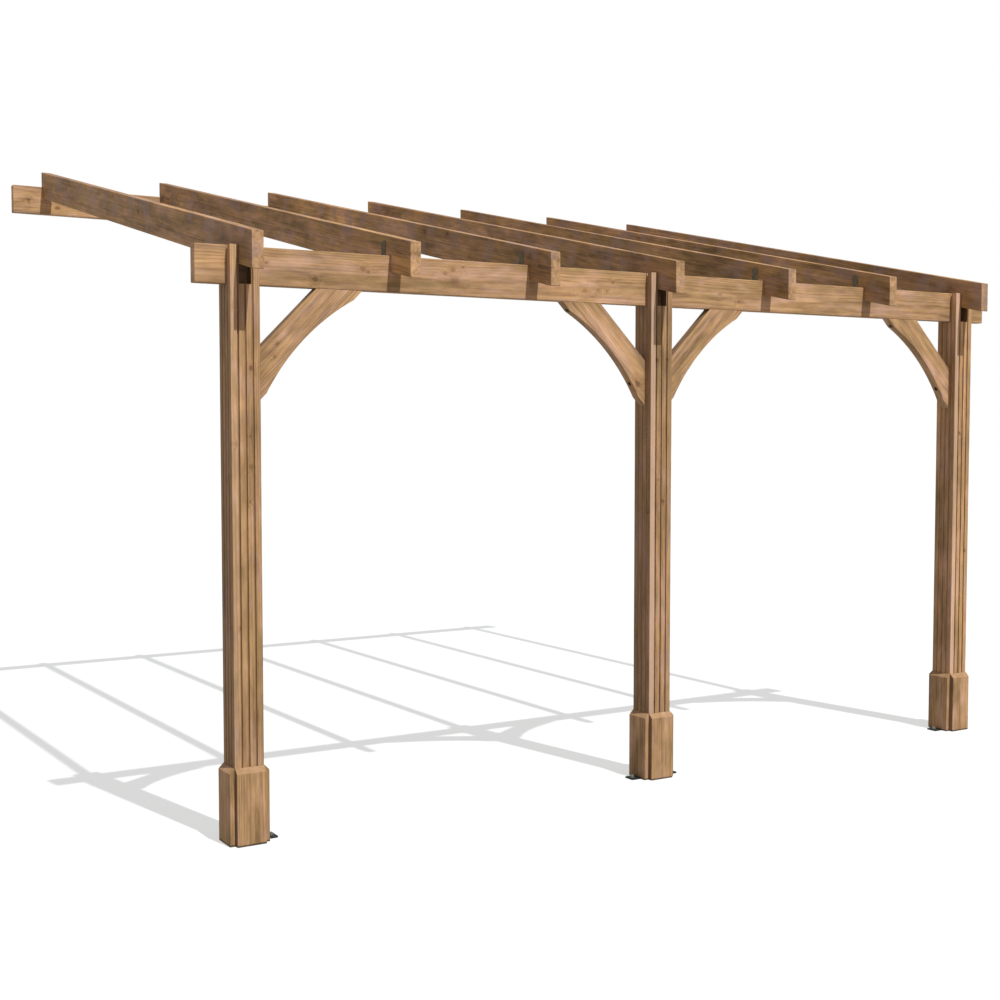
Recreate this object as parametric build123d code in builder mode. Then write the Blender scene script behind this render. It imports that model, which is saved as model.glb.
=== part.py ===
from build123d import *
from math import atan, cos, sqrt
import os

os.makedirs("parts", exist_ok=True)

# Wall-mounted timber pergola, in millimetres. X runs along the front beam, -Y is the open front,
# +Y is the wall, and Z is up from the ground at the foot of the middle post.

# Posts: planed square timber with grooves planed along all four faces
post_width = 120
post_spacing = 1990
post_arris = 3
groove_count = 3
groove_width = 8
groove_depth = 6

# Front beam: one board on edge, let into the heads of all three posts
beam_underside = 2157
beam_depth = 147
beam_thickness = 44
beam_overhang = 125
slot_clearance = 1

# Rafters: they rise towards the wall and are notched over the beam and the wall plate
rafter_count = 7
rafter_thickness = 47.5
rafter_depth = 140
rafter_slope = 0.214
rafter_seat_depth = 65.5
rafter_nose = 132
rafter_wall_clearance = 12

# Wall plate: one board on edge against the wall
plate_depth = 148
plate_thickness = 44
plate_overhang = 183
wall_face = 2890

# Knee braces: boards at 45 degrees with a hollow lower edge, screwed through deep round pockets
brace_leg = 252
brace_width = 141
brace_shoulder = 56
brace_hollow = 38
screw_pocket_radius = 6
screw_grip = 20
post_screw_height = 100
beam_screw_inset = 38

# Skirting boards around each post foot
skirt_height = 304
skirt_thickness = 22
skirt_chamfer = 20

# Steel angle brackets that hold the post feet to the ground
bracket_width = 60
bracket_foot = 70
bracket_leg = 70
bracket_metal = 5
bracket_corner = 8
bracket_gap = 1
anchor_from_post = 50
anchor_hole_radius = 5.5

# Levels and places that follow from the sizes above
half_post = post_width / 2
beam_top = beam_underside + beam_depth
beam_front = -beam_thickness / 2
beam_back = beam_thickness / 2
rafter_plumb_depth = rafter_depth / cos(atan(rafter_slope))
rafter_front = -half_post - rafter_nose
rafter_back = wall_face - rafter_wall_clearance
plate_front = wall_face - plate_thickness
post_places = {"left": -post_spacing, "middle": 0, "right": post_spacing}
outward_of_side = {"front": (0, -1, 0), "back": (0, 1, 0), "left": (-1, 0, 0), "right": (1, 0, 0)}
sides_facing_a_bay = {"left": ("right",), "middle": ("left", "right"), "right": ("left",)}


def rafter_underside(y):
    """Height of a rafter's sloping underside at a distance y behind the posts' centre line."""
    return beam_top - rafter_seat_depth + rafter_slope * (y - beam_front)


def rafter_top(y):
    return rafter_underside(y) + rafter_plumb_depth


plate_top = rafter_underside(plate_front) + rafter_seat_depth


def outward_plane(post_x, direction):
    """Upright plane through a post's centre: local x points outward, local y points up."""
    outward = Vector(*direction)
    return Plane(origin=(post_x, 0, 0), x_dir=outward, z_dir=outward.cross(Vector(0, 0, 1)))


def finish(part, name):
    part.label = name
    export_step(part, f"parts/{name}.step")


def make_post(name, post_x):
    """Grooved square post, its head forked both ways for the beam and the rafter."""
    groove_pitch = post_width / (groove_count + 1)
    groove_rows = [(0, (row - (groove_count - 1) / 2) * groove_pitch) for row in range(groove_count)]
    with BuildPart() as post:
        with BuildSketch(Plane((post_x, 0, 0))):
            RectangleRounded(post_width, post_width, post_arris)
            with PolarLocations(half_post, 4):
                with Locations(*groove_rows):
                    Rectangle(2 * groove_depth, groove_width, mode=Mode.SUBTRACT)
        extrude(amount=beam_top)
        with BuildSketch(Plane((post_x, 0, beam_underside))):
            Rectangle(post_width, beam_thickness + 2 * slot_clearance)
            Rectangle(rafter_thickness + 2 * slot_clearance, post_width)
        extrude(amount=beam_depth, mode=Mode.SUBTRACT)
    finish(post.part, name)


def make_beam(name):
    """Single front beam, resting in the post heads and running past both end posts."""
    length = 2 * (post_spacing + half_post + beam_overhang)
    with BuildPart() as beam:
        with BuildSketch(Plane.XY.offset(beam_underside)):
            Rectangle(length, beam_thickness)
        extrude(amount=beam_depth)
    finish(beam.part, name)


def make_wall_plate(name):
    """Board fixed flat against the wall, carrying the rafters' upper ends."""
    length = 2 * (post_spacing + plate_overhang)
    with BuildPart() as plate:
        with BuildSketch(Plane.XY.offset(plate_top - plate_depth)):
            with Locations((0, (plate_front + wall_face) / 2)):
                Rectangle(length, plate_thickness)
        extrude(amount=plate_depth)
    finish(plate.part, name)


def make_rafter(name, rafter_x):
    """Sloping board on edge, cut plumb at both ends, notched over the beam and the wall plate."""
    outline = [
        (rafter_front, rafter_underside(rafter_front)),
        (beam_front, rafter_underside(beam_front)),
        (beam_front, beam_top),
        (beam_back, beam_top),
        (beam_back, rafter_underside(beam_back)),
        (plate_front, rafter_underside(plate_front)),
        (plate_front, plate_top),
        (rafter_back, plate_top),
        (rafter_back, rafter_top(rafter_back)),
        (rafter_front, rafter_top(rafter_front)),
    ]
    with BuildPart() as rafter:
        with BuildSketch(Plane.YZ.offset(rafter_x)):
            with BuildLine():
                Polyline(*outline, close=True)
            make_face()
        extrude(amount=rafter_thickness / 2, both=True)
    finish(rafter.part, name)


def make_brace(name, post_x, side):
    """Knee brace between a post's side and the beam: straight upper edge, hollow lower edge."""
    lower_leg = brace_leg + brace_width * sqrt(2)
    shoulder = brace_shoulder / sqrt(2)
    hollow = brace_hollow / sqrt(2)
    heel = Vector(half_post, beam_underside - lower_leg)
    toe = Vector(half_post + lower_leg, beam_underside)
    upper_heel = Vector(half_post, beam_underside - brace_leg)
    upper_toe = Vector(half_post + brace_leg, beam_underside)
    arc_start = toe - Vector(shoulder, shoulder)
    arc_end = heel + Vector(shoulder, shoulder)
    arc_middle = (arc_start + arc_end) / 2 + Vector(-hollow, hollow)
    face_plane = Plane(origin=(post_x, beam_front, 0), x_dir=(side, 0, 0), z_dir=(0, -side, 0))
    post_pocket = Plane(
        origin=(post_x + side * (half_post + screw_grip), 0, heel.Y + post_screw_height),
        x_dir=(0, 1, 0),
        z_dir=(side, 0, 0),
    )
    beam_pocket = Plane(
        origin=(post_x + side * (toe.X - beam_screw_inset), 0, beam_underside - screw_grip),
        x_dir=(1, 0, 0),
        z_dir=(0, 0, -1),
    )
    with BuildPart() as brace:
        with BuildSketch(face_plane):
            with BuildLine():
                Polyline(arc_end, heel, upper_heel, upper_toe, toe, arc_start)
                ThreePointArc(arc_start, arc_middle, arc_end)
            make_face()
        extrude(amount=-side * beam_thickness)
        with BuildSketch(post_pocket, beam_pocket):
            Circle(screw_pocket_radius)
        extrude(amount=lower_leg, mode=Mode.SUBTRACT)
    finish(brace.part, name)


def make_skirt(name, post_x, direction, over_bracket):
    """Skirting board on one side of a post foot, with its top outer edge cut back."""
    outer = half_post + skirt_thickness
    outline = [
        (half_post, 0),
        (outer, 0),
        (outer, skirt_height - skirt_chamfer),
        (outer - skirt_chamfer, skirt_height),
        (half_post, skirt_height),
    ]
    board_plane = outward_plane(post_x, direction)
    metal_room = bracket_metal + bracket_gap
    with BuildPart() as skirt:
        with BuildSketch(board_plane):
            with BuildLine():
                Polyline(*outline, close=True)
            make_face()
        extrude(amount=half_post, both=True)
        if over_bracket:
            with BuildSketch(board_plane):
                with Locations((half_post, 0)):
                    Rectangle(metal_room, bracket_leg + bracket_gap, align=(Align.MIN, Align.MIN))
                    Rectangle(skirt_thickness, metal_room, align=(Align.MIN, Align.MIN))
            extrude(amount=bracket_width / 2 + bracket_gap, both=True, mode=Mode.SUBTRACT)
    finish(skirt.part, name)


def make_bracket(name, post_x, direction):
    """Bent steel angle: one leg up the post's side, one foot on the ground with an anchor hole."""
    with BuildPart() as bracket:
        with BuildSketch(outward_plane(post_x, direction)):
            with Locations((half_post, 0)):
                Rectangle(bracket_foot, bracket_metal, align=(Align.MIN, Align.MIN))
                Rectangle(bracket_metal, bracket_leg, align=(Align.MIN, Align.MIN))
        extrude(amount=bracket_width / 2, both=True)
        tip = bracket.faces().sort_by(Axis((post_x, 0, 0), direction))[-1]
        fillet(tip.edges().filter_by(Axis.Z), bracket_corner)
        with BuildSketch(Plane(origin=(post_x, 0, 0), x_dir=direction, z_dir=(0, 0, 1))):
            with Locations((half_post + anchor_from_post, 0)):
                Circle(anchor_hole_radius)
        extrude(amount=bracket_metal, mode=Mode.SUBTRACT)
    finish(bracket.part, name)


make_beam("front_beam")
make_wall_plate("wall_plate")

rafter_pitch = 2 * post_spacing / (rafter_count - 1)
for number in range(rafter_count):
    make_rafter(f"rafter_{number + 1}", -post_spacing + number * rafter_pitch)

for place, x in post_places.items():
    bay_sides = sides_facing_a_bay[place]
    make_post(f"{place}_post", x)
    for side in bay_sides:
        make_brace(f"{place}_post_brace_{side}", x, outward_of_side[side][0])
        make_bracket(f"{place}_post_bracket_{side}", x, outward_of_side[side])
    for side, direction in outward_of_side.items():
        make_skirt(f"{place}_skirt_{side}", x, direction, side in bay_sides)
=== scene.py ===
import bpy
import bmesh
import math
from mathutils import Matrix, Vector


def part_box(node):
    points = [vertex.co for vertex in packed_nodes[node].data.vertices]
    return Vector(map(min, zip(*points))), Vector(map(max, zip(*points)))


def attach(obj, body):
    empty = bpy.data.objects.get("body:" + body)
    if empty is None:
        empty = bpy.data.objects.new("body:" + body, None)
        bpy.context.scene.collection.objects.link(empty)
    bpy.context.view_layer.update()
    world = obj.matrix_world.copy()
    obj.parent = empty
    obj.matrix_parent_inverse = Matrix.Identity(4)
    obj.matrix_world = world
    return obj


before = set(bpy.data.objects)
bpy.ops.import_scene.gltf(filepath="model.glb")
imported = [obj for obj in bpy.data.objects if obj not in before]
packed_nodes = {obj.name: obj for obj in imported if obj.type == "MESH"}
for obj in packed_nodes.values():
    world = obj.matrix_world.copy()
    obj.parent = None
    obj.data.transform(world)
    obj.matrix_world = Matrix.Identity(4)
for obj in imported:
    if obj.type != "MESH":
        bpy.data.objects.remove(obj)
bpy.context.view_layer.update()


# Studio floor and backdrop
# A wide pale floor under the pergola, which keeps its shadow, and a white backdrop all round.
# Seen directly both are white, while the light they give back to the timber stays soft and dim.
class Socket:
    """One output in a shader. Arithmetic on it adds Math nodes; node() adds any other node."""

    def __init__(self, tree, output=None):
        self.tree = tree
        self.output = output

    def node(self, kind, settings=None, values=None, outlet=0):
        """Adds a node: its settings first, then the values or links of its sockets."""
        made = self.tree.nodes.new("ShaderNode" + kind)
        for key, value in (settings or {}).items():
            if key == "stops":
                ramp = made.color_ramp
                while len(ramp.elements) < len(value):
                    ramp.elements.new(0.5)
                for element, (place, colour) in zip(ramp.elements, value):
                    element.position = place
                    element.color = (*colour, 1.0)
            else:
                setattr(made, key, value)
        for key, value in (values or {}).items():
            if isinstance(value, Socket):
                self.tree.links.new(value.output, made.inputs[key])
            else:
                made.inputs[key].default_value = value
        return Socket(self.tree, made.outputs[outlet])

    def math(self, operation, *values):
        return self.node("Math", {"operation": operation}, dict(enumerate(values)))

    def vector(self, operation, *values, outlet=0):
        """Vector maths on this vector and others."""
        sockets = dict(enumerate((self, *values)))
        return self.node("VectorMath", {"operation": operation}, sockets, outlet)

    def place(self):
        """The point's place in the frame, in metres."""
        return self.node("TexCoord", outlet="Object")

    def toward(self, direction):
        """How far this vector reaches in a direction."""
        return self.vector("DOT_PRODUCT", tuple(direction), outlet=1)

    def facing(self, direction):
        """How squarely the surface faces a direction, from 1 down to -1 where it faces away."""
        return self.node("TexCoord", outlet="Normal").toward(direction)

    def stained(self, stain, share):
        """This colour with a share of a stain mixed into it."""
        first_colour = 6
        second_colour = 7
        values = {"Factor": share, first_colour: self, second_colour: (*stain, 1.0)}
        return self.node("Mix", {"data_type": "RGBA"}, values, outlet=2)

    def ramp(self, low, high, start=0.0, end=1.0):
        """A smooth change from start to end while this value goes from low to high."""
        values = {"Value": self, "From Min": low, "From Max": high, "To Min": start, "To Max": end}
        return self.node("MapRange", {"interpolation_type": "SMOOTHSTEP"}, values)

    def fall(self, low, high, start=1.0):
        """A smooth fall from start to nothing while this value goes from low to high."""
        return self.ramp(low, high, start, 0.0)

    def __abs__(self):
        return self.math("ABSOLUTE", self)

    def __add__(self, other):
        return self.math("ADD", self, other)

    def __sub__(self, other):
        return self.math("SUBTRACT", self, other)

    def __rsub__(self, other):
        return self.math("SUBTRACT", other, self)

    def __mul__(self, other):
        return self.math("MULTIPLY", self, other)

    def __truediv__(self, other):
        return self.math("DIVIDE", self, other)

    def __pow__(self, other):
        return self.math("POWER", self, other)

    __radd__ = __add__
    __rmul__ = __mul__


def seen_directly(shader):
    """1 where the eye, a gloss or a clear material looks straight at the surface."""
    straight_rays = ("Is Camera Ray", "Is Glossy Ray", "Is Transmission Ray")
    eye, gloss, clear = [shader.node("LightPath", outlet=ray) for ray in straight_rays]
    return shader.math("MAXIMUM", shader.math("MAXIMUM", eye, gloss), clear)


def make_studio_floor():
    """Pale with a shadow where it is seen, and a dim grey where it only lights the timber."""
    floor_size = 120.0
    floor_height = -0.0006
    white_share = 0.58
    white = (1.0, 1.0, 1.0, 1.0)
    pale = (0.75, 0.83, 0.81, 1.0)
    dim = (0.3, 0.3, 0.3, 1.0)
    bpy.ops.mesh.primitive_plane_add(size=floor_size, location=(0.0, 0.0, floor_height))
    floor = bpy.context.object
    floor.name = "studio_floor"
    material = bpy.data.materials.new("studio_floor_pale")
    material.use_nodes = True
    tree = material.node_tree
    tree.nodes.clear()
    shader = Socket(tree)
    matt_pale = shader.node("BsdfDiffuse", values={"Color": pale})
    matt_dim = shader.node("BsdfDiffuse", values={"Color": dim})
    glow = shader.node("Emission", values={"Color": white, "Strength": 1.0})
    shown = shader.node("MixShader", values={0: white_share, 1: matt_pale, 2: glow})
    both = shader.node("MixShader", values={0: seen_directly(shader), 1: matt_dim, 2: shown})
    sink = tree.nodes.new("ShaderNodeOutputMaterial")
    tree.links.new(both.output, sink.inputs["Surface"])
    floor.data.materials.append(material)


def make_backdrop(fill):
    """White where it is seen, and a dimmer, rosier fill light where it isn't."""
    rosy = (1.0, 0.90, 0.92)
    white = (1.0, 1.0, 1.0)
    world = bpy.data.worlds.new("studio_backdrop")
    bpy.context.scene.world = world
    world.use_nodes = True
    tree = world.node_tree
    background = tree.nodes["Background"]
    direct = seen_directly(Socket(tree))
    strength = fill + direct * (1.0 - fill)
    colour = direct.node("ValToRGB", {"stops": [(0.0, rosy), (1.0, white)]}, {0: direct})
    tree.links.new(strength.output, background.inputs["Strength"])
    tree.links.new(colour.output, background.inputs["Color"])


make_studio_floor()
make_backdrop(fill=0.38)


# Light and camera
# One high key light from the open front, a little to the right, throws each rafter nose's
# shadow down its post. The camera stands at eye height, left of the left bay.
def make_light_and_camera():
    toward_light = Vector((0.175, -1.0, 1.71))
    key = bpy.data.lights.new("key_light", "SUN")
    key.energy = 3.9
    key.angle = math.radians(0.6)
    key_object = bpy.data.objects.new("key_light", key)
    key_object.rotation_euler = toward_light.to_track_quat("Z", "Y").to_euler()
    bpy.context.scene.collection.objects.link(key_object)

    sensor = 36.0
    picture_side = 1000.0
    focal_pixels = 1436.2
    eye_place = (-4.0253, -5.2410, 1.6350)
    turn_right = 0.5489
    look_down = 0.05455
    camera = bpy.data.cameras.new("front_left_camera")
    camera.sensor_width = sensor
    camera.lens = sensor * focal_pixels / picture_side
    camera.clip_end = 200.0
    camera_object = bpy.data.objects.new("front_left_camera", camera)
    camera_object.location = eye_place
    camera_object.rotation_euler = (math.pi / 2 - look_down, 0.0, -turn_right)
    bpy.context.scene.collection.objects.link(camera_object)
    bpy.context.scene.camera = camera_object
    bpy.context.scene.view_settings.view_transform = "Standard"


make_light_and_camera()


# Posts
# Planed square softwood with three grooves down each face, stained a warm brown. Each head is
# forked for the beam and the rafter. Shade is painted darker inside the grooves and head slots,
# and the front and back faces are painted lighter than the sides, as painted light.
post_half = 0.060
beam_underside = 2.157
rightward = (1.0, 0.0, 0.0)
rearward = (0.0, 1.0, 0.0)
upward = (0.0, 0.0, 1.0)
deep_stain = (0.210, 0.110, 0.048)
# Painted shade for the dark insides of the post head slots, used on the posts and on the beam.
slot_painted_shade = (0.060, 0.032, 0.015)
slot_shade_share = 0.65


class Board:
    """Metres along a board's grain, across it and through it, and patterns drawn on them."""

    def __init__(self, tree, middle, grain, across, seed):
        grain = Vector(grain).normalized()
        across = Vector(across).normalized()
        from_middle = Socket(tree).place().vector("SUBTRACT", tuple(middle))
        self.along = from_middle.toward(grain)
        self.across = from_middle.toward(across)
        self.through = from_middle.toward(grain.cross(across))
        self.end_grain = abs(self.along.facing(grain)).ramp(0.75, 0.95)
        self.seed = seed

    def stretched(self, scales):
        """The place scaled for a pattern, and shifted by the seed so that no two boards match."""
        seed_shifts = (7.31, 3.17, 5.77)
        metres = (self.along, self.across, self.through)
        values = {}
        for axis, place, scale, shift in zip("XYZ", metres, scales, seed_shifts):
            values[axis] = place * scale + self.seed * shift
        return self.along.node("CombineXYZ", values=values)

    def noise(self, scales, detail=2.0, roughness=0.5):
        """Soft noise from 0 to 1, with its own scale along, across and through the board."""
        values = {
            "Vector": self.stretched(scales),
            "Scale": 1.0,
            "Detail": detail,
            "Roughness": roughness,
        }
        return self.along.node("TexNoise", values=values)

    def cells(self, scales, outlet):
        """Random cells, with their own scale along, across and through the board."""
        values = {"Vector": self.stretched(scales), "Scale": 1.0}
        return self.along.node("TexVoronoi", values=values, outlet=outlet)


def find_knots(board, knots, faint_knots):
    """The nearest knot: the distance to it in its own radii, that radius, and its strength."""
    faint_strength = 0.5
    knot_length = 0.75
    through_share = 0.5
    smallest = 0.0008
    largest = 0.011
    ragged_edge = 1.6

    # Knots scattered by cells much longer than wide, most of them small
    cell = (1.7, 7.0, 4.0)
    to_metres = (knot_length / cell[0], 1.0 / cell[1], through_share / cell[2])
    offset = board.stretched(cell).vector("SUBTRACT", board.cells(cell, "Position"))
    far = offset.vector("MULTIPLY", to_metres).vector("LENGTH", outlet=1)
    draw = far.node("SeparateColor", values={0: board.cells(cell, "Color")})
    radius = draw.ramp(0.45, 1.0, smallest, largest)
    strength = 1.0

    # The board's own knots, each of them where it is the nearest in its own radii
    own_knots = [(*knot, 1.0) for knot in knots]
    own_knots += [(*knot, faint_strength) for knot in faint_knots]
    for knot_along, knot_across, knot_radius, knot_strength in own_knots:
        side = (board.across - knot_across) ** 2.0
        length = ((board.along - knot_along) * knot_length) ** 2.0
        knot_far = (side + length) ** 0.5
        nearer = far.math("LESS_THAN", knot_far / knot_radius, far / radius)
        far = far + (knot_far - far) * nearer
        radius = radius + (knot_radius - radius) * nearer
        strength = strength + (knot_strength - strength) * nearer

    ragged = board.noise((70.0, 130.0, 40.0)) - 0.5
    reach = far / radius * (1.0 + ragged * ragged_edge)
    return reach, radius, strength


def grow_rings(board, pith, by_knot, knot_radius):
    """Growth rings round the pith, which wanders along the board, pushed aside by the knots."""
    ring_pitch = 0.0068
    pith_wander = 0.05
    pith_wobble = 0.012
    ring_wobble = 0.004
    knot_push = 0.9
    wander = board.noise((0.8, 1.2, 1.2), detail=1.0) - 0.5
    wobble = board.noise((2.5, 9.0, 9.0)) - 0.5
    ring_across = board.across + pith[0] + wander * pith_wander
    ring_through = board.through + pith[1] + wobble * pith_wobble
    radius = (ring_across ** 2.0 + ring_through ** 2.0) ** 0.5
    radius = radius + by_knot * knot_radius * knot_push + wobble * ring_wobble
    return radius.math("FRACT", radius / ring_pitch)


def stain_rings(board, rings, fibre):
    """Pale early and darker late wood, with rosier and greener patches and dark fibres."""
    early = (0.450, 0.270, 0.127)
    late = (0.315, 0.174, 0.078)
    rose = (0.470, 0.290, 0.210)
    olive = (0.352, 0.230, 0.086)
    ring_stops = [(0.0, early), (0.40, early), (0.85, late), (1.0, early)]
    colour = rings.node("ValToRGB", {"stops": ring_stops}, {0: rings})
    broad_hue = board.noise((3.0, 14.0, 14.0), detail=3.0, roughness=0.6)
    colour = colour.stained(rose, broad_hue.ramp(0.50, 0.66, 0.0, 0.50))
    colour = colour.stained(olive, broad_hue.fall(0.34, 0.50, 0.35))
    small_hue = board.noise((9.0, 26.0, 26.0))
    colour = colour.stained(rose, small_hue.ramp(0.54, 0.70, 0.0, 0.40))
    colour = colour.stained(olive, small_hue.fall(0.30, 0.46, 0.30))
    return colour.stained(deep_stain, fibre.fall(0.3, 0.55, 0.3))


def stain_knots(colour, by_knot, in_knot, knot_heart):
    """A warm halo, a dark rim and a brown heart."""
    halo = (0.310, 0.160, 0.060)
    rim = (0.095, 0.044, 0.018)
    heart = (0.230, 0.115, 0.048)
    colour = colour.stained(halo, by_knot * 0.5)
    colour = colour.stained(rim, in_knot * 0.7)
    return colour.stained(heart, knot_heart * 0.6)


def stain_cut_ends(board, colour):
    """Cut ends are a little paler, with small dark pits where the pores took more stain."""
    end_colour = (0.520, 0.335, 0.200)
    pits = board.cells((24.0, 24.0, 24.0), "Distance").fall(0.06, 0.14)
    colour = colour.stained(end_colour, board.end_grain * 0.45)
    return colour.stained(deep_stain, board.end_grain * pits * 0.7)


def stain_unevenly(board, colour, mottle, tone, pale):
    """Broad clouds, shorter blotches and long streaks, and stretches paler or darker by a gain."""
    darkest = 0.45
    cloud = board.noise((2.6, 10.0, 10.0), detail=3.0, roughness=0.6) - 0.5
    blotch = board.noise((9.0, 36.0, 36.0), detail=3.0, roughness=0.6) - 0.5
    streak = board.noise((2.2, 75.0, 75.0), detail=3.0, roughness=0.6) - 0.5
    uneven = cloud * 1.3 + blotch * 0.9 + streak * 0.8
    level = uneven.math("MAXIMUM", 1.0 + uneven * mottle, darkest) * tone
    for pale_along, reach, gain in pale:
        lift = abs(board.along - pale_along).fall(reach * 0.5, reach, gain)
        level = level * (1.0 + lift * (1.0 - board.end_grain))
    return colour.node("HueSaturation", values={"Value": level, "Color": colour})


def softwood(
    name,
    middle,
    grain,
    across,
    pith,
    seed,
    mottle=1.0,
    tone=1.0,
    knots=(),
    faint_knots=(),
    pale=(),
    overlay=None,
):
    """Stained softwood: growth rings round an off-centre pith, uneven stain, fibres and knots.

    Knots are (along, across, radius) and pale stretches (along, reach, gain), both measured
    from the board's middle. An overlay adds what the stain does on one kind of piece.
    """
    material = bpy.data.materials.new(name)
    material.use_nodes = True
    tree = material.node_tree
    surface = tree.nodes["Principled BSDF"]
    board = Board(tree, middle, grain, across, seed)

    knot_reach, knot_radius, knot_strength = find_knots(board, knots, faint_knots)
    by_knot = knot_reach.fall(0.6, 3.0)
    in_knot = knot_reach.fall(0.5, 1.2)
    knot_heart = knot_reach.fall(0.2, 0.75)
    rings = grow_rings(board, pith, by_knot, knot_radius)
    fibre = board.noise((14.0, 520.0, 520.0), detail=3.0, roughness=0.65)

    colour = stain_rings(board, rings, fibre)
    depths = [depth * knot_strength for depth in (by_knot, in_knot, knot_heart)]
    colour = stain_knots(colour, *depths)
    colour = stain_cut_ends(board, colour)
    colour = stain_unevenly(board, colour, mottle, tone, pale)
    if overlay:
        colour = overlay(colour)
    tree.links.new(colour.output, surface.inputs["Base Color"])

    roughness = 0.62 + fibre * 0.2 + board.end_grain * 0.1
    tree.links.new(roughness.output, surface.inputs["Roughness"])
    height = fibre * 0.5 + rings * 0.2 - in_knot * 0.3
    relief = height.node("Bump", values={"Strength": 0.35, "Distance": 0.0006, "Height": height})
    tree.links.new(relief.output, surface.inputs["Normal"])
    surface.inputs["Specular IOR Level"].default_value = 0.3
    return material


def wear(node_name, material):
    """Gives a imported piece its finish."""
    piece = packed_nodes[node_name]
    piece.data.materials.clear()
    piece.data.materials.append(material)
    return piece


def middle_of(node_name):
    low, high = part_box(node_name)
    return (low + high) / 2


def make_post_overlay(middle, gain, fall, band, groove_shade_share):
    """Painted shade in the grooves and head slots; front and back painted lighter than the sides
    as if lit, palest at the left arris.
    """
    groove_painted_shade = (0.230, 0.115, 0.045)
    pale_sapwood = (0.640, 0.450, 0.330)
    groove_inside = post_half - 0.0045
    groove_mouth = post_half - 0.0005
    band_full = -0.036
    band_end = -0.028
    just_under = 0.001
    slot_floor = beam_underside - middle.z - just_under
    slot_half = 0.0255

    def overlay(colour):
        place = colour.place().vector("SUBTRACT", tuple(middle))
        sideways = place.toward(rightward)
        sides = (abs(sideways), abs(place.toward(rearward)))
        outermost = colour.math("MAXIMUM", *sides)
        innermost = colour.math("MINIMUM", *sides)
        height = place.toward(upward)

        # Front and back faces are painted lighter than the sides by the gain, a painted light; the
        # fall across the face is sapwood.
        broad_face = abs(colour.facing(rearward)).ramp(0.5, 0.8)
        lit_faces_and_sapwood = sideways.ramp(-post_half, post_half, gain + fall, gain - fall)
        paler = 1.0 + (lit_faces_and_sapwood - 1.0) * broad_face
        colour = colour.node("HueSaturation", values={"Value": paler, "Color": colour})
        left_band = broad_face * sideways.fall(band_full, band_end)
        colour = colour.stained(pale_sapwood, left_band * band)
        # Painted shade inside the grooves.
        in_groove = outermost.fall(groove_inside, groove_mouth)
        colour = colour.stained(groove_painted_shade, in_groove * groove_shade_share)
        # Painted shade inside the head slots, from the beam's underside up.
        in_head = height.math("GREATER_THAN", height, slot_floor)
        in_slot = innermost.math("LESS_THAN", innermost, slot_half)
        return colour.stained(slot_painted_shade, in_head * in_slot * slot_shade_share)

    return overlay


post_woods = {
    "left_post": {
        "seed": 11.0,
        "tone": 0.77,
        "knots": [(0.687, 0.021, 0.009), (-0.31, -0.030, 0.006)],
        "faint_knots": [
            (0.310, 0.019, 0.010),
            (0.176, 0.013, 0.007),
            (0.399, -0.042, 0.007),
            (0.428, 0.016, 0.006),
        ],
        "pale": [(0.8, 0.7, 0.09)],
    },
    "middle_post": {
        "seed": 12.0,
        "tone": 0.79,
        "knots": [(0.760, -0.023, 0.007), (0.762, 0.031, 0.006), (0.12, 0.012, 0.007)],
        "faint_knots": [(0.264, -0.045, 0.006), (0.219, -0.016, 0.007)],
    },
    "right_post": {
        "seed": 13.0,
        "tone": 1.14,
        "knots": [(0.42, -0.018, 0.008), (-0.2, 0.035, 0.006)],
    },
}
# Per post: a gain that paints front and back lighter than the sides (painted light), a sapwood
# fall and pale band, and a share of painted shade in the grooves.
post_stains_and_painted_light = {
    "left_post": {"gain": 1.36, "fall": 0.07, "band": 0.15, "groove_shade_share": 0.6},
    "middle_post": {"gain": 1.28, "fall": 0.10, "band": 0.55, "groove_shade_share": 0.05},
    "right_post": {"gain": 1.15, "fall": 0.12, "band": 0.45, "groove_shade_share": 0.05},
}
for post, wood in post_woods.items():
    post_stained = softwood(
        post + "_stained",
        middle_of(post),
        grain=upward,
        across=rightward,
        pith=(0.013, 0.009),
        overlay=make_post_overlay(middle_of(post), **post_stains_and_painted_light[post]),
        **wood,
    )
    wear(post, post_stained)


# Front beam
# One long softwood board on edge, dropped into the forked post heads, with its ends running
# past the end posts. Planed, with eased arrises; the stretch round the middle post is paler.
board_arris = 0.003
post_spacing = 1.990
left_bay_knots = [
    (-1.887, 0.015, 0.007),
    (-1.476, 0.015, 0.012),
    (-1.452, 0.001, 0.006),
    (-1.361, -0.007, 0.003),
    (-1.099, 0.017, 0.009),
    (-1.061, 0.032, 0.010),
    (-1.014, 0.046, 0.006),
    (-1.053, -0.013, 0.020),
    (-0.674, -0.016, 0.004),
    (-0.398, -0.022, 0.014),
    (-0.326, -0.019, 0.013),
    (-0.279, -0.017, 0.007),
    (-0.247, 0.020, 0.008),
]
right_bay_knots = [
    (0.370, -0.001, 0.006),
    (0.486, -0.031, 0.010),
]


def ease_edges(piece, width):
    """Rounds a board's arrises or a steel sheet's edges."""
    weld = piece.modifiers.new("joined_corners", "WELD")
    weld.merge_threshold = 0.00001
    bevel = piece.modifiers.new("eased_arris", "BEVEL")
    bevel.width = width
    bevel.segments = 2
    bevel.limit_method = "ANGLE"
    bevel.angle_limit = math.radians(30.0)
    piece.modifiers.new("flat_faces", "WEIGHTED_NORMAL")


def shade_beam_in_slots(colour):
    """Painted shade where the beam sits in the post heads."""
    slot_half = 0.025
    blur = 0.001
    from_middle_post = abs(colour.place().toward(rightward))
    from_end_post = abs(from_middle_post - post_spacing)
    nearest = colour.math("MINIMUM", from_middle_post, from_end_post)
    return colour.stained(slot_painted_shade, nearest.fall(slot_half - blur, slot_half + blur, slot_shade_share))


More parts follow.
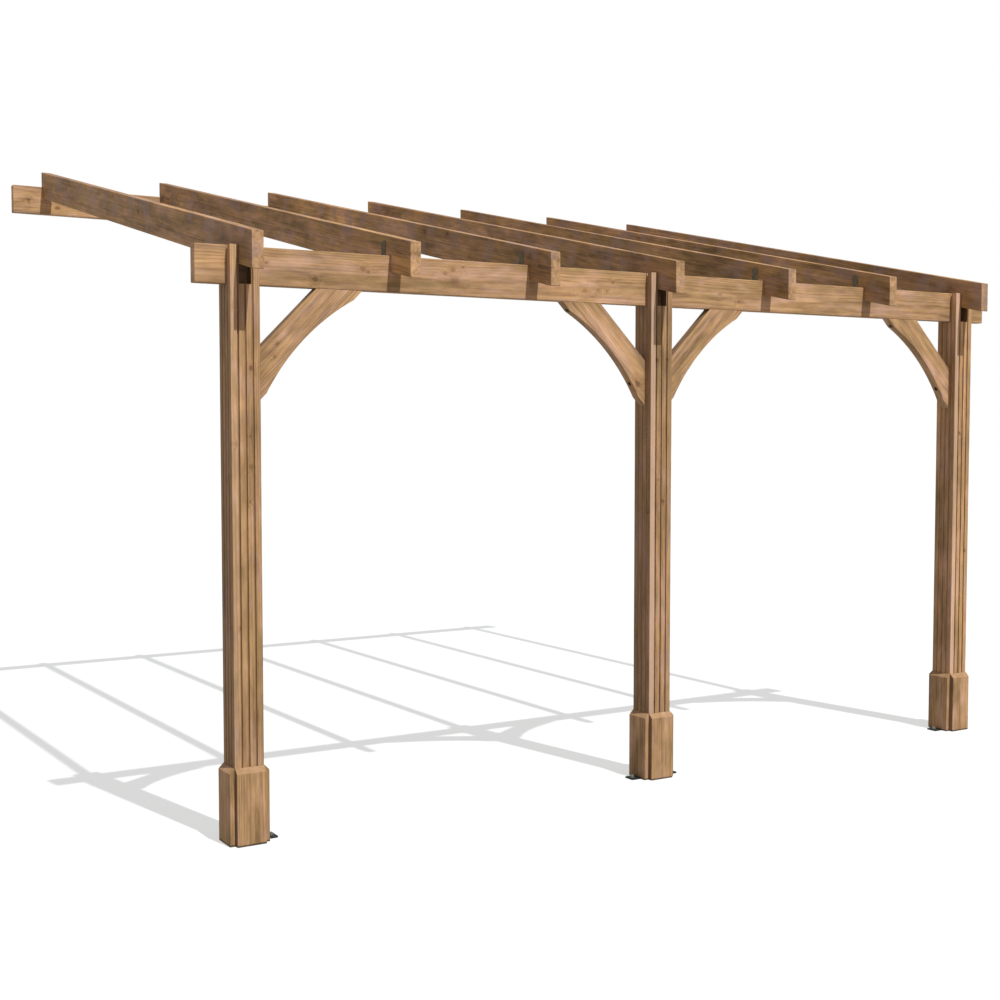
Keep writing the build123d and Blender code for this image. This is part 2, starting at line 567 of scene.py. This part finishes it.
beam_stained = softwood(
    "front_beam_stained",
    middle_of("front_beam"),
    grain=rightward,
    across=upward,
    pith=(0.030, 0.075),
    seed=21.0,
    knots=[(-1.683, -0.039, 0.011)],
    faint_knots=left_bay_knots + right_bay_knots,
    pale=[(-2.12, 0.35, 0.04), (0.10, 1.0, 0.18)],
    overlay=shade_beam_in_slots,
)
ease_edges(wear("front_beam", beam_stained), width=board_arris)


# Wall plate
# The matching board fixed flat to the wall, which carries the rafters' upper ends. A stretch
# in the left half is darker.
plate_stained = softwood(
    "wall_plate_stained",
    middle_of("wall_plate"),
    grain=rightward,
    across=upward,
    pith=(-0.020, 0.080),
    seed=25.0,
    mottle=1.3,
    tone=1.2,
    knots=[(-2.093, 0.000, 0.009), (-1.937, -0.034, 0.011)],
    pale=[(-1.30, 0.62, -0.32)],
)
ease_edges(wear("wall_plate", plate_stained), width=board_arris)


# Rafters
# Seven sloping softwood boards on edge, notched over the beam and the plate and cut plumb at
# both ends. Their grain follows the slope.
rafter_count = 7
rafter_slope = 0.214
rafter_grain = (0.0, 1.0, rafter_slope)
rafter_across = (0.0, -rafter_slope, 1.0)
rafter_woods = {
    "rafter_1": {
        "tone": 0.93,
        "knots": [(-0.178, 0.015, 0.011), (0.302, -0.003, 0.008), (-0.784, 0.024, 0.007)],
        "pale": [(-1.50, 0.45, -0.28)],
    },
    "rafter_3": {
        "knots": [(-0.430, 0.040, 0.012), (-0.653, 0.052, 0.008)],
        "pale": [(-0.90, 0.80, -0.16), (0.75, 0.50, 0.50)],
    },
    "rafter_4": {"pale": [(-1.50, 0.45, -0.26), (-0.30, 0.50, -0.14)]},
    "rafter_5": {"pale": [(1.50, 0.45, -0.14)]},
    "rafter_6": {"pale": [(-1.50, 0.45, -0.26), (1.50, 0.45, -0.12)]},
    "rafter_7": {"tone": 0.87},
}


def weather_rafter(colour):
    """Patches weathered to lilac; the upper edge is darker, more so towards the wall."""
    lilac = (0.350, 0.235, 0.200)
    upper_edge_darkening = (0.160, 0.080, 0.040)
    place = colour.place()
    patch = colour.node("TexNoise", values={"Vector": place, "Scale": 9.0, "Detail": 3.0})
    upper_edge = colour.facing(upward).ramp(0.7, 0.9)
    toward_wall = place.toward(rearward).ramp(0.3, 2.4, 0.10, 0.70)
    colour = colour.node("HueSaturation", values={"Saturation": 1.07, "Color": colour})
    colour = colour.stained(lilac, patch.ramp(0.50, 0.62, 0.0, 0.45))
    # The upper edge is made darker, more so towards the wall.
    return colour.stained(upper_edge_darkening, upper_edge * toward_wall)


for number in range(rafter_count):
    rafter = f"rafter_{number + 1}"
    rafter_stained = softwood(
        rafter + "_stained",
        middle_of(rafter),
        grain=rafter_grain,
        across=rafter_across,
        pith=(0.035 - 0.011 * number, 0.055 + 0.008 * (number % 3)),
        seed=31.0 + 2.0 * number,
        mottle=1.5,
        overlay=weather_rafter,
        **rafter_woods.get(rafter, {}),
    )
    ease_edges(wear(rafter, rafter_stained), width=board_arris)


# Knee braces
# Boards at 45 degrees with a hollow sawn in the lower edge, screwed up into the beam and
# sideways into the post through deep pockets.
brace_lower_leg = 0.4514
brace_arris = 0.0015
post_pocket_rise = 0.100
beam_pocket_inset = 0.038
post_pocket_height = beam_underside - brace_lower_leg + post_pocket_rise
beam_pocket_from_post = post_half + brace_lower_leg - beam_pocket_inset
brace_places = {
    "left_post_brace_right": (-post_spacing, 1.0),
    "middle_post_brace_left": (0.0, -1.0),
    "middle_post_brace_right": (0.0, 1.0),
    "right_post_brace_left": (post_spacing, -1.0),
}
brace_woods = {
    "left_post_brace_right": {
        "tone": 1.02,
        "faint_knots": [(-0.096, 0.103, 0.008), (-0.138, 0.075, 0.007)],
    },
    "middle_post_brace_left": {"tone": 1.03, "knots": [(-0.217, -0.037, 0.013)]},
    "middle_post_brace_right": {"tone": 1.17},
    "right_post_brace_left": {"tone": 1.08},
}


def make_brace_overlay(post_x, lean):
    """Painted shade, near black, in the two screw pockets and on the upper edge under the beam."""
    pocket_painted_shade = (0.022, 0.012, 0.007)
    pocket_edge = 0.0080
    pocket_blur = 0.0040
    beam_pocket_x = post_x + lean * beam_pocket_from_post

    def overlay(colour):
        place = colour.place()
        x, y, z = [place.toward(direction) for direction in (rightward, rearward, upward)]
        from_post_pocket = (y ** 2.0 + (z - post_pocket_height) ** 2.0) ** 0.5
        from_beam_pocket = (y ** 2.0 + (x - beam_pocket_x) ** 2.0) ** 0.5
        nearest = colour.math("MINIMUM", from_post_pocket, from_beam_pocket)
        in_pocket = nearest.fall(pocket_edge, pocket_edge + pocket_blur, 0.92)
        # Painted shade on the upward-facing edge, under the beam.
        upper_edge = colour.facing(upward).ramp(0.4, 0.65, 0.0, 0.60)
        return colour.stained(pocket_painted_shade, upper_edge).stained(pocket_painted_shade, in_pocket)

    return overlay


for number, (brace, (post_x, lean)) in enumerate(brace_places.items()):
    brace_stained = softwood(
        brace + "_stained",
        middle_of(brace),
        grain=(lean, 0.0, 1.0),
        across=(-1.0, 0.0, lean),
        pith=(0.020, 0.060),
        seed=51.0 + 2.0 * number,
        mottle=1.3,
        overlay=make_brace_overlay(post_x, lean),
        **brace_woods[brace],
    )
    ease_edges(wear(brace, brace_stained), width=brace_arris)


# Skirting boards
# Four short upright boards round each post foot, their top outer edges cut back to shed rain.
# The cut edges drank more stain, and the lowest few millimetres are painted dark as shade under
# the boards.
skirt_arris = 0.0025


def make_skirt_overlay(corner_shade_share):
    """Darker bevels, painted shade along the foot, and painted shade on the upright ends in the
    open corners.
    """
    bevel_stain = (0.300, 0.180, 0.090)
    foot_and_corner_painted_shade = (0.055, 0.030, 0.016)
    foot_shade_low = 0.001
    foot_shade_high = 0.007
    foot_shade_ragged = 0.006

    def overlay(colour):
        place = colour.place()
        ragged = colour.node("TexNoise", values={"Vector": place, "Scale": 90.0, "Detail": 2.0})
        height = place.toward(upward) - ragged * foot_shade_ragged
        bevel = colour.facing(upward).ramp(0.4, 0.7, 0.0, 0.6)
        upright_end = abs(colour.facing(rightward)).ramp(0.6, 0.9)
        colour = colour.stained(bevel_stain, bevel)
        # Painted shade on the upright ends in the open corners.
        colour = colour.stained(foot_and_corner_painted_shade, upright_end * corner_shade_share)
        # Painted shade along the foot, with a ragged edge.
        return colour.stained(foot_and_corner_painted_shade, height.fall(foot_shade_low, foot_shade_high, 0.9))

    return overlay


for number, foot in enumerate(("left", "middle", "right")):
    for turn, side in enumerate(("front", "back", "left", "right")):
        skirt = f"{foot}_skirt_{side}"
        lies_along_beam = side in ("front", "back")
        skirt_stained = softwood(
            skirt + "_stained",
            middle_of(skirt),
            grain=upward,
            across=rightward if lies_along_beam else rearward,
            pith=(0.012 * turn - 0.02, 0.065),
            seed=71.0 + 5.0 * number + turn,
            mottle=1.2,
            overlay=make_skirt_overlay(corner_shade_share=0.55 if lies_along_beam else 0.0),
        )
        ease_edges(wear(skirt, skirt_stained), width=skirt_arris)


# Ground brackets
# Bent steel angles, coated black, that tie the inner sides of the post feet to the ground.
# The coating is slightly clouded and gritty.
def coated_steel(name, colour, gloss, metal):
    """A coating with lighter clouds, uneven gloss and fine grit."""
    lighter = tuple(channel * 1.7 for channel in colour)
    material = bpy.data.materials.new(name)
    material.use_nodes = True
    tree = material.node_tree
    surface = tree.nodes["Principled BSDF"]
    place = Socket(tree).place()
    cloud = place.node("TexNoise", values={"Vector": place, "Scale": 60.0, "Detail": 4.0})
    grit = place.node("TexNoise", values={"Vector": place, "Scale": 900.0, "Detail": 2.0})
    shade = cloud.node("ValToRGB", {"stops": [(0.35, colour), (0.75, lighter)]}, {0: cloud})
    roughness = 1.0 - gloss + cloud * 0.2
    relief = grit.node("Bump", values={"Strength": 0.25, "Distance": 0.0003, "Height": grit})
    tree.links.new(shade.output, surface.inputs["Base Color"])
    tree.links.new(roughness.output, surface.inputs["Roughness"])
    tree.links.new(relief.output, surface.inputs["Normal"])
    surface.inputs["Metallic"].default_value = metal
    surface.inputs["Specular IOR Level"].default_value = gloss * 0.5
    return material


bracket_arris = 0.0008
black_coating = coated_steel("bracket_black_coating", (0.012, 0.012, 0.013), gloss=0.4, metal=0.0)
for bracket in (
    "left_post_bracket_right",
    "middle_post_bracket_left",
    "middle_post_bracket_right",
    "right_post_bracket_left",
):
    ease_edges(wear(bracket, black_coating), width=bracket_arris)


# Ground anchors
# One through each bracket foot: a threaded stud of dull zinc-plated steel, with a washer and
# a hexagon nut on it.
zinc_plate = coated_steel("dull_zinc_plate", (0.150, 0.150, 0.120), gloss=0.45, metal=0.3)
anchor_from_middle = 0.110
anchor_places = {
    "left_post_ground_anchor": -post_spacing + anchor_from_middle,
    "middle_post_ground_anchor_left": -anchor_from_middle,
    "middle_post_ground_anchor_right": anchor_from_middle,
    "right_post_ground_anchor": post_spacing - anchor_from_middle,
}


def turn_solid(mesh, foot, axis, profile, sides):
    """Adds a solid turned round an axis from (radius, height) steps, closed at both ends."""
    aim = Vector(axis).to_track_quat("Z", "Y")
    rings = []
    for radius, height in profile:
        ring = []
        for step in range(sides):
            angle = 2.0 * math.pi * step / sides
            spot = Vector((radius * math.cos(angle), radius * math.sin(angle), height))
            ring.append(mesh.verts.new(Vector(foot) + aim @ spot))
        rings.append(ring)
    for lower, upper in zip(rings, rings[1:]):
        for step in range(sides):
            after = (step + 1) % sides
            mesh.faces.new((lower[step], lower[after], upper[after], upper[step]))
    mesh.faces.new(rings[0][::-1])
    mesh.faces.new(rings[-1])


def add_piece(name, mesh, material):
    """Turns finished mesh work into a steel piece that moves with the frame."""
    bmesh.ops.recalc_face_normals(mesh, faces=mesh.faces)
    data = bpy.data.meshes.new(name)
    mesh.to_mesh(data)
    mesh.free()
    data.materials.append(material)
    data.shade_smooth()
    data.set_sharp_from_angle(angle=math.radians(35.0))
    piece = bpy.data.objects.new(name, data)
    bpy.context.scene.collection.objects.link(piece)
    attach(piece, "root")
    return piece


def make_ground_anchor(name, anchor_x):
    foot_top = 0.005
    washer_radius = 0.0100
    washer_easing = 0.0003
    washer_top = 0.0020
    nut_radius = 0.0098
    nut_top = 0.0100
    nut_chamfer = 0.0010
    stud_radius = 0.0049
    thread_depth = 0.0005
    thread_pitch = 0.0010
    thread_count = 3
    mesh = bmesh.new()
    place = (anchor_x, 0.0, foot_top)
    washer = [
        (washer_radius - washer_easing, 0.0),
        (washer_radius, washer_easing),
        (washer_radius, washer_top),
    ]
    turn_solid(mesh, place, upward, washer, sides=32)
    nut = [
        (nut_radius, washer_top),
        (nut_radius, nut_top - nut_chamfer),
        (nut_radius - nut_chamfer, nut_top),
    ]
    turn_solid(mesh, place, upward, nut, sides=6)
    stud = [(stud_radius, -foot_top)]
    for turn in range(thread_count):
        start = nut_top + turn * thread_pitch
        stud.append((stud_radius - thread_depth, start))
        stud.append((stud_radius, start + thread_pitch / 2))
    stud.append((stud_radius - thread_depth, nut_top + thread_count * thread_pitch))
    turn_solid(mesh, place, upward, stud, sides=24)
    add_piece(name, mesh, zinc_plate)


for anchor, anchor_x in anchor_places.items():
    make_ground_anchor(anchor, anchor_x)


# Brace screws
# Two to each knee brace, one at the bottom of each deep pocket: a flanged head with a round
# driving recess.
screw_grip = 0.020


def make_brace_screws(brace, post_x, lean):
    post_seat = (post_x + lean * (post_half + screw_grip), 0.0, post_pocket_height)
    beam_seat = (post_x + lean * beam_pocket_from_post, 0.0, beam_underside - screw_grip)
    flange_radius = 0.0052
    flange_top = 0.0010
    head = [
        (0.0025, -0.0040),
        (0.0028, 0.0),
        (flange_radius, 0.0),
        (flange_radius, flange_top),
        (0.0040, 0.0028),
        (0.0024, 0.0032),
        (0.0021, 0.0014),
    ]
    mesh = bmesh.new()
    turn_solid(mesh, post_seat, (lean, 0.0, 0.0), head, sides=24)
    turn_solid(mesh, beam_seat, (0.0, 0.0, -1.0), head, sides=24)
    add_piece(brace + "_screws", mesh, black_coating)


for brace, (post_x, lean) in brace_places.items():
    make_brace_screws(brace, post_x, lean)


# Rafter ties
# Small bent steel angles behind the beam, on the left sides of four rafters: a tall leg up
# the rafter's side, a short leg on the beam's back, and screws through both.
rafters_per_bay = 3
rafter_pitch = post_spacing / rafters_per_bay
rafter_half = 0.02375
tie_coating = coated_steel("rafter_tie_coating", (0.155, 0.135, 0.090), gloss=0.2, metal=0.1)


def push_outline(mesh, outline, push):
    """Adds a solid made by pushing a flat outline through a vector."""
    near = [mesh.verts.new(Vector(point)) for point in outline]
    far = [mesh.verts.new(Vector(point) + Vector(push)) for point in outline]
    mesh.faces.new(near[::-1])
    mesh.faces.new(far)
    for here in range(len(outline)):
        after = (here + 1) % len(outline)
        mesh.faces.new((near[here], near[after], far[after], far[here]))


def make_rafter_tie(number):
    sheet = 0.002
    corner = 0.006
    sheared_edge = 0.0004
    leg_reach = 0.038
    leg_bottom = 2.262
    tall_top = 2.370
    short_top = 2.302
    beam_back = 0.022
    rafter_side = -post_spacing + (number - 1) * rafter_pitch - rafter_half
    tall_left = rafter_side - sheet
    tall_back = beam_back + leg_reach
    short_left = rafter_side - leg_reach
    mesh = bmesh.new()
    tall_leg = [
        (rafter_side, beam_back, leg_bottom),
        (rafter_side, tall_back - corner, leg_bottom),
        (rafter_side, tall_back, leg_bottom + corner),
        (rafter_side, tall_back, tall_top - corner),
        (rafter_side, tall_back - corner, tall_top),
        (rafter_side, beam_back + corner, tall_top),
        (rafter_side, beam_back, tall_top - corner),
    ]
    push_outline(mesh, tall_leg, (-sheet, 0.0, 0.0))
    short_leg = [
        (tall_left, beam_back, leg_bottom),
        (tall_left, beam_back, short_top),
        (short_left + corner, beam_back, short_top),
        (short_left, beam_back, short_top - corner),
        (short_left, beam_back, leg_bottom + corner),
        (short_left + corner, beam_back, leg_bottom),
    ]
    push_outline(mesh, short_leg, (0.0, sheet, 0.0))

    screw_head = [
        (0.0042, 0.0),
        (0.0040, 0.0010),
        (0.0030, 0.0020),
        (0.0016, 0.0024),
        (0.0013, 0.0012),
    ]
    end_inset = 0.020
    low_screw = leg_bottom + end_inset
    middle_screw = leg_bottom + 0.054
    high_screw = tall_top - end_inset
    tall_screw_back = beam_back + 0.024
    short_screw_left = short_left + 0.014
    for height in (low_screw, middle_screw, high_screw):
        seat = (tall_left, tall_screw_back, height)
        turn_solid(mesh, seat, (-1.0, 0.0, 0.0), screw_head, sides=16)
    seat = (short_screw_left, beam_back + sheet, low_screw)
    turn_solid(mesh, seat, rearward, screw_head, sides=16)
    tie = add_piece(f"rafter_{number}_tie", mesh, tie_coating)
    bevel = tie.modifiers.new("eased_sheet_edges", "BEVEL")
    bevel.width = sheared_edge
    bevel.segments = 2
    bevel.limit_method = "ANGLE"


for number in (2, 3, 5, 6):
    make_rafter_tie(number)
